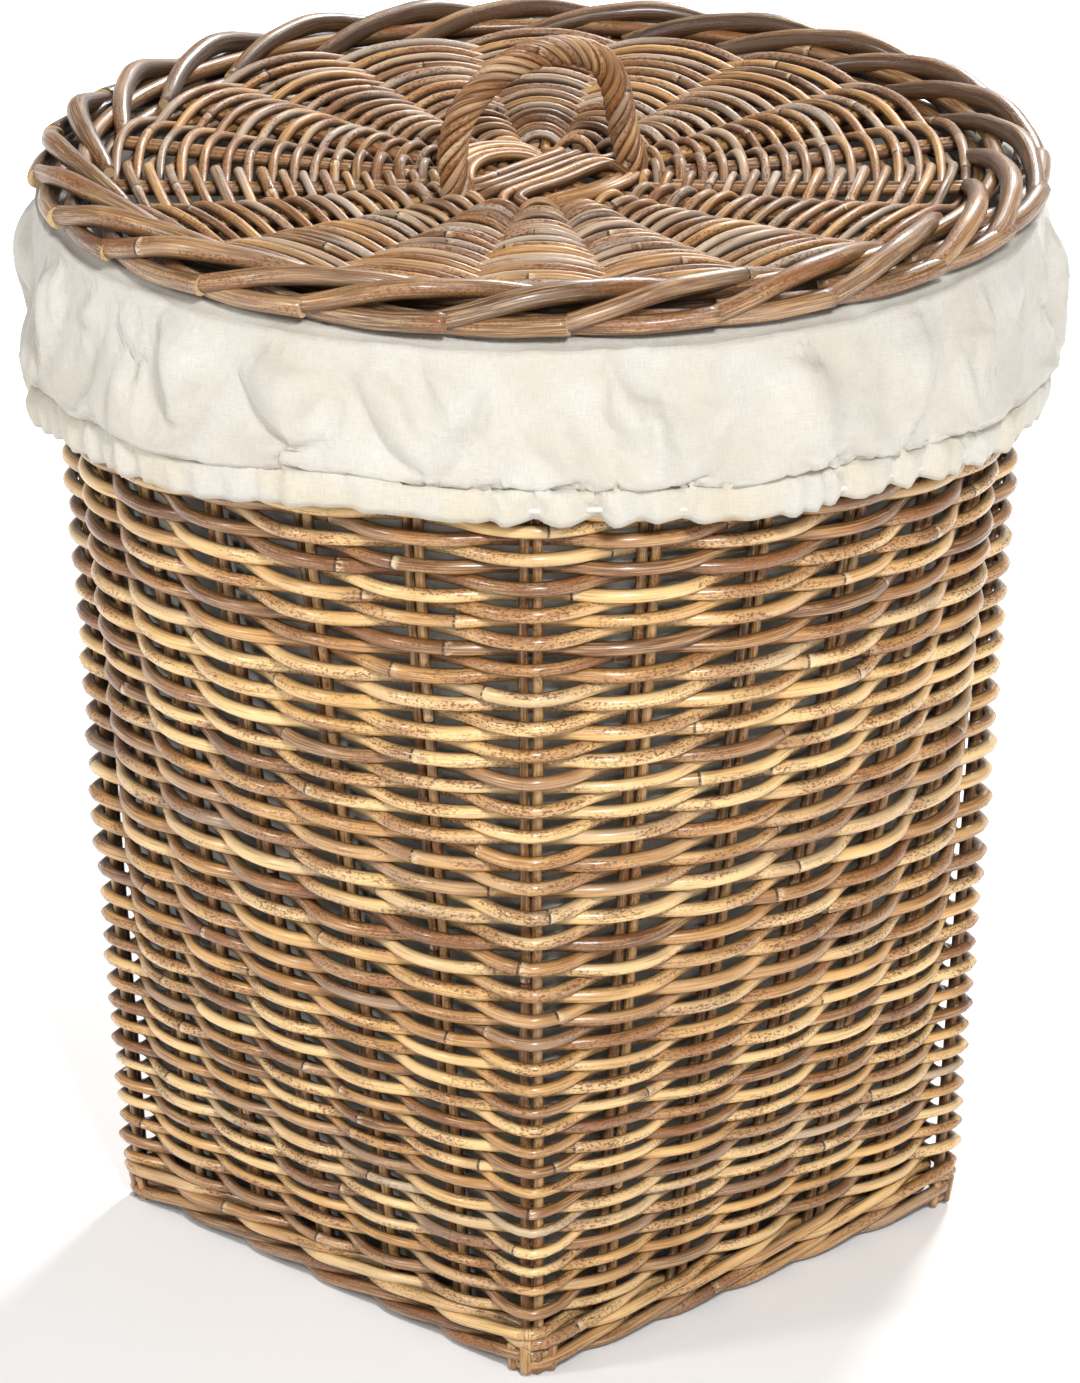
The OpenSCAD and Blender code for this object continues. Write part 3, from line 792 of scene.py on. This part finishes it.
def cloth_object(name, grid, co, material, closed=True):
    """A thin solid sheet through a grid of points; co is where each point lies on the flat cloth."""
    """A sheet from a grid of points; co is its flat place, (rows, columns, 2) in metres."""
    rows, cols = grid.shape[:2]
    i = np.arange(rows - 1)[:, None]
    k = np.arange(cols if closed else cols - 1)[None]
    m = (k + 1) % cols
    quads = np.stack([i * cols + k, i * cols + m, (i + 1) * cols + m, (i + 1) * cols + k], -1).reshape(-1, 4)
    me = bpy.data.meshes.new(name)
    me.from_pydata(grid.reshape(-1, 3).tolist(), [], quads.tolist())
    flat = np.concatenate([co.reshape(-1, 2), np.zeros((rows * cols, 1))], 1)
    where = me.attributes.new("cloth_co", "FLOAT_VECTOR", "POINT")
    where.data.foreach_set("vector", flat.astype(np.float32).ravel())
    me.polygons.foreach_set("use_smooth", np.ones(len(quads), bool))
    me.materials.append(material)
    ob = bpy.data.objects.new(name, me)
    bpy.context.scene.collection.objects.link(ob)
    solid = ob.modifiers.new("thickness", "SOLIDIFY")
    solid.thickness = CLOTH_THICK
    solid.offset = 0.0
    deps = bpy.context.evaluated_depsgraph_get()
    thick = bpy.data.meshes.new_from_object(ob.evaluated_get(deps), depsgraph=deps)
    ob.modifiers.clear()
    ob.data = thick
    return ob


COLS = 540
CLOTH_FRAMES = 28
CLOTH_EASE_ROUND = 1.14  # the cloth is this much longer round the basket than the space it fills
CLOTH_EASE_DOWN = 1.01
FOLD_R = 0.0104  # the cloth's middle, round the rim border
HEM_CORD_RADIUS = 0.2362
HEM_CORD_HEIGHT = 0.4175


def liner_profile():
    """Radius and height of the cloth from inside the rim, over it and down to the hem."""
    inside = [(0.2137, 0.486), (0.2141, 0.495), (0.2145, 0.505)]
    over = [
        (RIM_RADIUS - FOLD_R * math.cos(t), RIM_HEIGHT + FOLD_R * math.sin(t))
        for t in np.linspace(0.0, math.pi * 0.80, 9)
    ]
    knots = [
        (0.2358, 0.5188), (0.2430, 0.5155), (0.2490, 0.5085), (0.2520, 0.4990), (0.2526, 0.4880),
        (0.2518, 0.4760), (0.2500, 0.4640), (0.2470, 0.4530), (0.2435, 0.4430), (0.2405, 0.4350),
    ]
    hang = curve_through(knots, 20)
    hem = [
        (0.2390, 0.4315), (0.2392, 0.4275), (0.2394, 0.4235),
        (0.2392, 0.4195), (0.2386, 0.4155), (0.2376, 0.4120),
    ]
    return np.concatenate([inside, over, hang, hem]), len(inside), len(over), len(hang), len(hem)


def hem_drop(a):
    """How far the hem hangs above its lowest place, round the basket; it is highest at the front corner."""
    away = a + math.pi / 4
    even = 0.0290 - 0.0130 * np.sin(away) ** 2 - 0.0040 * (1 - np.cos(away))
    return even + 0.0016 * np.sin(a * 5 + 0.7) + 0.0012 * np.sin(a * 11 + 2.0)


def gathers(a, count):
    """Uneven small pleats round the hem: a height from -1 to 1 for each angle."""
    speed = 1 + 0.30 * np.sin(7 * a + 1.0) + 0.30 * np.sin(17 * a + 2.2) + 0.2 * np.sin(29 * a + 0.4)
    phase = np.cumsum(speed)
    phase = phase / phase[-1] * TAU * count
    strength = 0.7 + 0.22 * np.sin(5 * a + 0.3) + 0.2 * np.sin(13 * a + 4.0)
    return np.sin(phase + 0.5 * np.sin(phase)) * np.clip(strength, 0.25, 1.1)


def liner_start():
    """The folded-over cloth before it hangs: pleats at rim and hem, soft slanted folds between."""
    prof, n_in, n_over, n_hang, n_hem = liner_profile()
    rows = len(prof)
    a = np.arange(COLS) * TAU / COLS
    grid = np.zeros((rows, COLS, 3))
    strength = np.clip(0.75 + 0.3 * np.sin(3 * a + 2.0) + 0.25 * np.sin(8 * a + 0.5), 0.3, 1.2)
    small = (0.65 * gathers(a, 45) + 0.5 * gathers(a + 2.0, 86)) * strength
    drop = hem_drop(a)
    first_hang = n_in + n_over
    first_hem = first_hang + n_hang
    top, bottom = prof[first_hang][1], prof[first_hem][1]
    for i, (r, z) in enumerate(prof):
        hang = float(np.clip((i - first_hang + 1) / n_hang, 0, 1))
        in_hem = i >= first_hem
        bulge = 0.0 if in_hem else math.sin(math.pi * hang)
        slant = a + hang * 0.10 * np.sin(3 * a + 1)
        folds = 0.0040 * np.sin(slant * 19 + 1.8 * hang + 1.5 * np.sin(a * 5))
        folds = folds + 0.0024 * np.sin(slant * 37 - 2.6 * hang + 1.1 * np.sin(a * 8 + 1))
        hemward = math.exp(-((1 - hang) * n_hang) / 9.0) if i >= first_hang else 0.0
        rr = r + bulge * folds + hemward * 0.0044 * small
        zz = z + drop * float(np.clip((top - z) / (top - bottom), 0, 1))
        if in_hem:
            low = (i - first_hem + 1) / n_hem
            rr = rr + 0.0010 * math.sin(math.pi * low) * (1 + small)
            zz = zz - 0.0018 * low * small
        grid[i] = np.stack([rr * np.cos(a), rr * np.sin(a), zz], -1)
    return grid, (n_in, n_over, n_hang, n_hem)


def proxy(name, grid):
    """A plain surface for the cloth to lie against while it is simulated."""
    rows, cols = grid.shape[:2]
    faces = [
        (i * cols + k, i * cols + (k + 1) % cols, (i + 1) * cols + (k + 1) % cols, (i + 1) * cols + k)
        for i in range(rows - 1) for k in range(cols)
    ]
    me = bpy.data.meshes.new(name)
    me.from_pydata(grid.reshape(-1, 3).tolist(), [], faces)
    ob = bpy.data.objects.new(name, me)
    bpy.context.scene.collection.objects.link(ob)
    ob.modifiers.new("hit", "COLLISION")
    ob.collision.thickness_outer = 0.0012
    ob.collision.cloth_friction = 6.0
    return ob


def hang_cloth(grid, counts):
    """Lets the skirt hang, slip and crumple between the rim and the hem. Returns the settled grid."""
    n_in, n_over, n_hang, _ = counts
    rows, cols = grid.shape[:2]
    i = np.arange(rows - 1)[:, None]
    k = np.arange(cols)[None]
    m = (k + 1) % cols
    quads = np.stack([i * cols + k, i * cols + m, (i + 1) * cols + m, (i + 1) * cols + k], -1).reshape(-1, 4)
    me = bpy.data.meshes.new("cloth_try")
    me.from_pydata(grid.reshape(-1, 3).tolist(), [], quads.tolist())
    ob = bpy.data.objects.new("cloth_try", me)
    bpy.context.scene.collection.objects.link(ob)
    held = ob.vertex_groups.new(name="held")
    weight = np.zeros(rows)
    weight[: n_in + n_over] = 1.0
    first_hem = n_in + n_over + n_hang
    weight[first_hem + 1] = 0.3
    weight[first_hem + 2] = 0.7
    weight[first_hem + 3:] = 1.0
    for row in np.nonzero(weight)[0]:
        held.add(list(range(row * cols, (row + 1) * cols)), float(weight[row]), "REPLACE")
    a = np.arange(180) * TAU / 180
    # stand-ins for wall, rim border and lid; their faces point towards the cloth
    wall_line = ((0.2345, 0.40), (0.2355, 0.45), (0.2350, 0.505))
    rim_r = 0.0092
    rim_line = [
        (RIM_RADIUS - rim_r * math.cos(t), RIM_HEIGHT + rim_r * math.sin(t))
        for t in np.linspace(math.pi + 1.2, -0.9, 18)
    ]
    lid_line = ((0.21, 0.5262), (0.226, 0.5262), (0.241, 0.5262))
    helpers = [
        proxy(name, np.stack([polar(r, a, z + 0 * a) for r, z in line]))
        for name, line in (("wall_proxy", wall_line), ("rim_proxy", rim_line), ("lid_proxy", lid_line))
    ]
    ob.shape_key_add(name="Basis")
    loose = ob.shape_key_add(name="loose")
    full = grid * np.array([CLOTH_EASE_ROUND, CLOTH_EASE_ROUND, CLOTH_EASE_DOWN])
    loose.data.foreach_set("co", full.astype(np.float32).ravel())
    mod = ob.modifiers.new("cloth", "CLOTH")
    cs = mod.settings
    cs.quality = 5
    cs.mass = 0.16
    cs.tension_stiffness = 12
    cs.compression_stiffness = 12
    cs.shear_stiffness = 4
    cs.bending_stiffness = 0.4
    cs.tension_damping = 8
    cs.compression_damping = 8
    cs.shear_damping = 8
    cs.air_damping = 2.5
    cs.rest_shape_key = loose
    cs.vertex_group_mass = "held"
    mod.collision_settings.use_collision = True
    mod.collision_settings.distance_min = 0.0008
    mod.collision_settings.collision_quality = 2
    scene = bpy.context.scene
    scene.frame_start, scene.frame_end = 1, CLOTH_FRAMES
    mod.point_cache.frame_start, mod.point_cache.frame_end = 1, CLOTH_FRAMES
    for f in range(1, CLOTH_FRAMES + 1):
        scene.frame_set(f)
    deps = bpy.context.evaluated_depsgraph_get()
    got = ob.evaluated_get(deps)
    out = np.empty(rows * cols * 3, np.float32)
    got.data.vertices.foreach_get("co", out)
    for o in [ob, *helpers]:
        mesh = o.data
        bpy.data.objects.remove(o)
        bpy.data.meshes.remove(mesh)
    scene.frame_set(1)
    return out.reshape(rows, cols, 3).astype(float)


def flat_place(grid, width):
    """Flat coordinates of a closed sheet: round the basket, and down the cloth."""
    rows, cols = grid.shape[:2]
    down = np.concatenate([[0.0], np.cumsum(np.linalg.norm(np.diff(grid, axis=0), axis=2).mean(1))])
    co = np.empty((rows, cols, 2))
    x = np.arange(cols) / cols * width
    co[..., 0] = np.minimum(x, width - x)[None]
    co[..., 1] = down[:, None]
    return co


def liner_outside():
    """Fold, skirt and hem, cut from one simulated cloth, and the elastic in the hem."""
    grid, counts = liner_start()
    grid = hang_cloth(grid, counts)
    n_in, n_over, n_hang, _ = counts
    first_hang = n_in + n_over
    first_hem = first_hang + n_hang
    co = flat_place(grid, 1.72)
    parts = {
        "fold": (slice(n_in - 1, first_hang + 1), "liner_fold", COTTON, 0.031),
        "skirt": (slice(first_hang, first_hem + 1), "liner_skirt", COTTON, 0.080),
        "hem": (slice(first_hem, len(grid)), "liner_hem", HEM_COTTON, 0.021),
    }
    for key, (rows, node, material, height) in parts.items():
        ob = cloth_object(f"cotton_{key}", grid[rows], co[rows], material)
        place(ob, "liner", "cotton", node)
    cord = Canes()
    a = np.arange(240) * TAU / 240
    line = polar(HEM_CORD_RADIUS, a, HEM_CORD_HEIGHT + hem_drop(a))
    cord.add(line, 0.0015, UP, closed=True, sides=8)
    place(cord.build("hem_elastic_cord", ELASTIC), "liner", "elastic", "hem_elastic")


def liner_inside():
    """The bag inside the basket, following its square-to-round shape with soft upright folds."""
    rows, cols = 46, 288
    u = np.arange(cols) * STAKES / cols
    top = 0.5065
    low = 0.0205
    heights = np.linspace(top, low, rows)
    grid = np.empty((rows, cols, 3))
    for i, z in enumerate(heights):
        slack = math.sin(math.pi * (top - z) / (top - low)) ** 0.6 if 0 < i < rows - 1 else 0.0
        fold = 0.0016 * np.sin(u * TAU * 31 / STAKES + 2.0 * math.sin(z * 11))
        fold = fold + 0.0012 * np.sin(u * TAU * 13 / STAKES + 20 * z)
        sag = 0.0014 * np.sin(z * 70 + 3 * np.sin(u * TAU * 3 / STAKES))
        off = -0.0112 - slack * (0.0016 + fold * 0.9 + sag * 0.6)
        grid[i] = wall(u, z, off)
    grid[0] = wall(u, top, -0.0108)
    co = np.empty((rows, cols, 2))
    x = np.arange(cols) / cols * 1.36
    co[..., 0] = np.minimum(x, 1.36 - x)[None]
    co[..., 1] = (top - heights)[:, None]
    bag = cloth_object("cotton_bag", grid, co, COTTON)
    place(bag, "liner", "cotton", "liner_bag")
    n = 60
    s = np.linspace(-1, 1, n)
    half = 0.1268
    x, y = np.meshgrid(s * half, s * half)
    edge = np.maximum(np.abs(x), np.abs(y)) / half
    ripple = np.sin(x * 70 + 2 * np.sin(y * 40)) + np.sin(y * 85 + x * 30)
    z = 0.0202 + (1 - edge**6) * 0.0005 * ripple
    flat = np.stack([x, y], -1)
    panel = cloth_object("cotton_bottom", np.stack([x, y, z], -1), flat, COTTON, closed=False)
    place(panel, "liner", "cotton", "liner_floor")


# ---- stage ----
def soft_light(name, place_at, aim, size, power):
    """A round area light pointed at aim."""
    data = bpy.data.lights.new(name, "AREA")
    data.shape = "DISK"
    data.size = size
    data.energy = power
    ob = bpy.data.objects.new(name, data)
    ob.location = place_at
    v = np.array(aim, float) - np.array(place_at, float)
    ob.rotation_euler = (math.acos(-v[2] / np.linalg.norm(v)), 0, math.atan2(v[0], -v[1]) + math.pi)
    bpy.context.scene.collection.objects.link(ob)


def stage():
    """A pale floor with a painted glow that grows with distance so that it fades to white, and a world that
    is brightest at the horizon.
    """
    s = Shader("studio_floor")
    paper = s.noise(s.node("TexCoord", out=3), 3.0)
    colour = s.mix(paper, (0.86, 0.86, 0.86, 1), (0.89, 0.89, 0.89, 1))
    away = s.node("VectorMath", {0: s.node("TexCoord", out=3)}, operation="LENGTH", out=1)
    # painted light: the floor glows, faintly near the basket and more with distance
    glow = s.span(away, 0.2, 3.2, 0.07, 0.80)
    mat = s.surface(Base_Color=colour, Roughness=0.9, Emission_Color=(1, 1, 1, 1), Emission_Strength=glow)
    me = bpy.data.meshes.new("studio_floor")
    half = 12.0
    corners = [(-half, -half, 0), (half, -half, 0), (half, half, 0), (-half, half, 0)]
    me.from_pydata(corners, [], [(0, 1, 2, 3)])
    me.materials.append(mat)
    ob = bpy.data.objects.new("studio_floor", me)
    bpy.context.scene.collection.objects.link(ob)
    world = bpy.data.worlds.new("studio")
    bpy.context.scene.world = world
    world.use_nodes = True
    tree = world.node_tree
    where = tree.nodes.new("ShaderNodeTexCoord")
    split = tree.nodes.new("ShaderNodeSeparateXYZ")
    fade = tree.nodes.new("ShaderNodeMapRange")
    tree.links.new(where.outputs["Generated"], split.inputs[0])
    tree.links.new(split.outputs["Z"], fade.inputs["Value"])
    for key, value in (("From Min", 0.0), ("From Max", 0.3), ("To Min", 0.88), ("To Max", 0.24)):
        fade.inputs[key].default_value = value
    tree.links.new(fade.outputs[0], tree.nodes["Background"].inputs["Strength"])
    tree.nodes["Background"].inputs["Color"].default_value = (1, 1, 1, 1)


# the camera stands CAMERA_RANGE from the axis and looks down by CAMERA_PITCH
CAMERA_RANGE = 3.6045
CAMERA_HEIGHT = 1.6662
CAMERA_PITCH = math.radians(21.2)
CAMERA_TURN = math.radians(46.09)
CAMERA_LENS = 267.5


def camera():
    """A long lens from the front corner's side, looking down on the lid."""
    data = bpy.data.cameras.new("camera")
    data.sensor_fit = "HORIZONTAL"
    data.sensor_width = 36.0
    data.lens = CAMERA_LENS
    data.clip_end = 60
    ob = bpy.data.objects.new("camera", data)
    across, back = CAMERA_RANGE * math.sin(CAMERA_TURN), -CAMERA_RANGE * math.cos(CAMERA_TURN)
    ob.location = (across, back, CAMERA_HEIGHT)
    ob.rotation_euler = (math.pi / 2 - CAMERA_PITCH, 0, CAMERA_TURN)
    bpy.context.scene.collection.objects.link(ob)
    bpy.context.scene.camera = ob


side_weave()
foot()
stakes()
rim()
floor()
lid_rods()
lid_weave()
lid_binding()
lid_borders()
handle()
liner_outside()
liner_inside()
stage()
camera()
soft_light("key", (2.7, -1.7, 2.6), (0, 0, 0.3), 0.6, 125)
soft_light("left", (-0.9, -3.0, 2.1), (0, 0, 0.3), 0.6, 36)
soft_light("back", (-1.0, 2.1, 2.3), (0, 0, 0.5), 0.7, 95)
bpy.context.scene.view_settings.view_transform = "Standard"
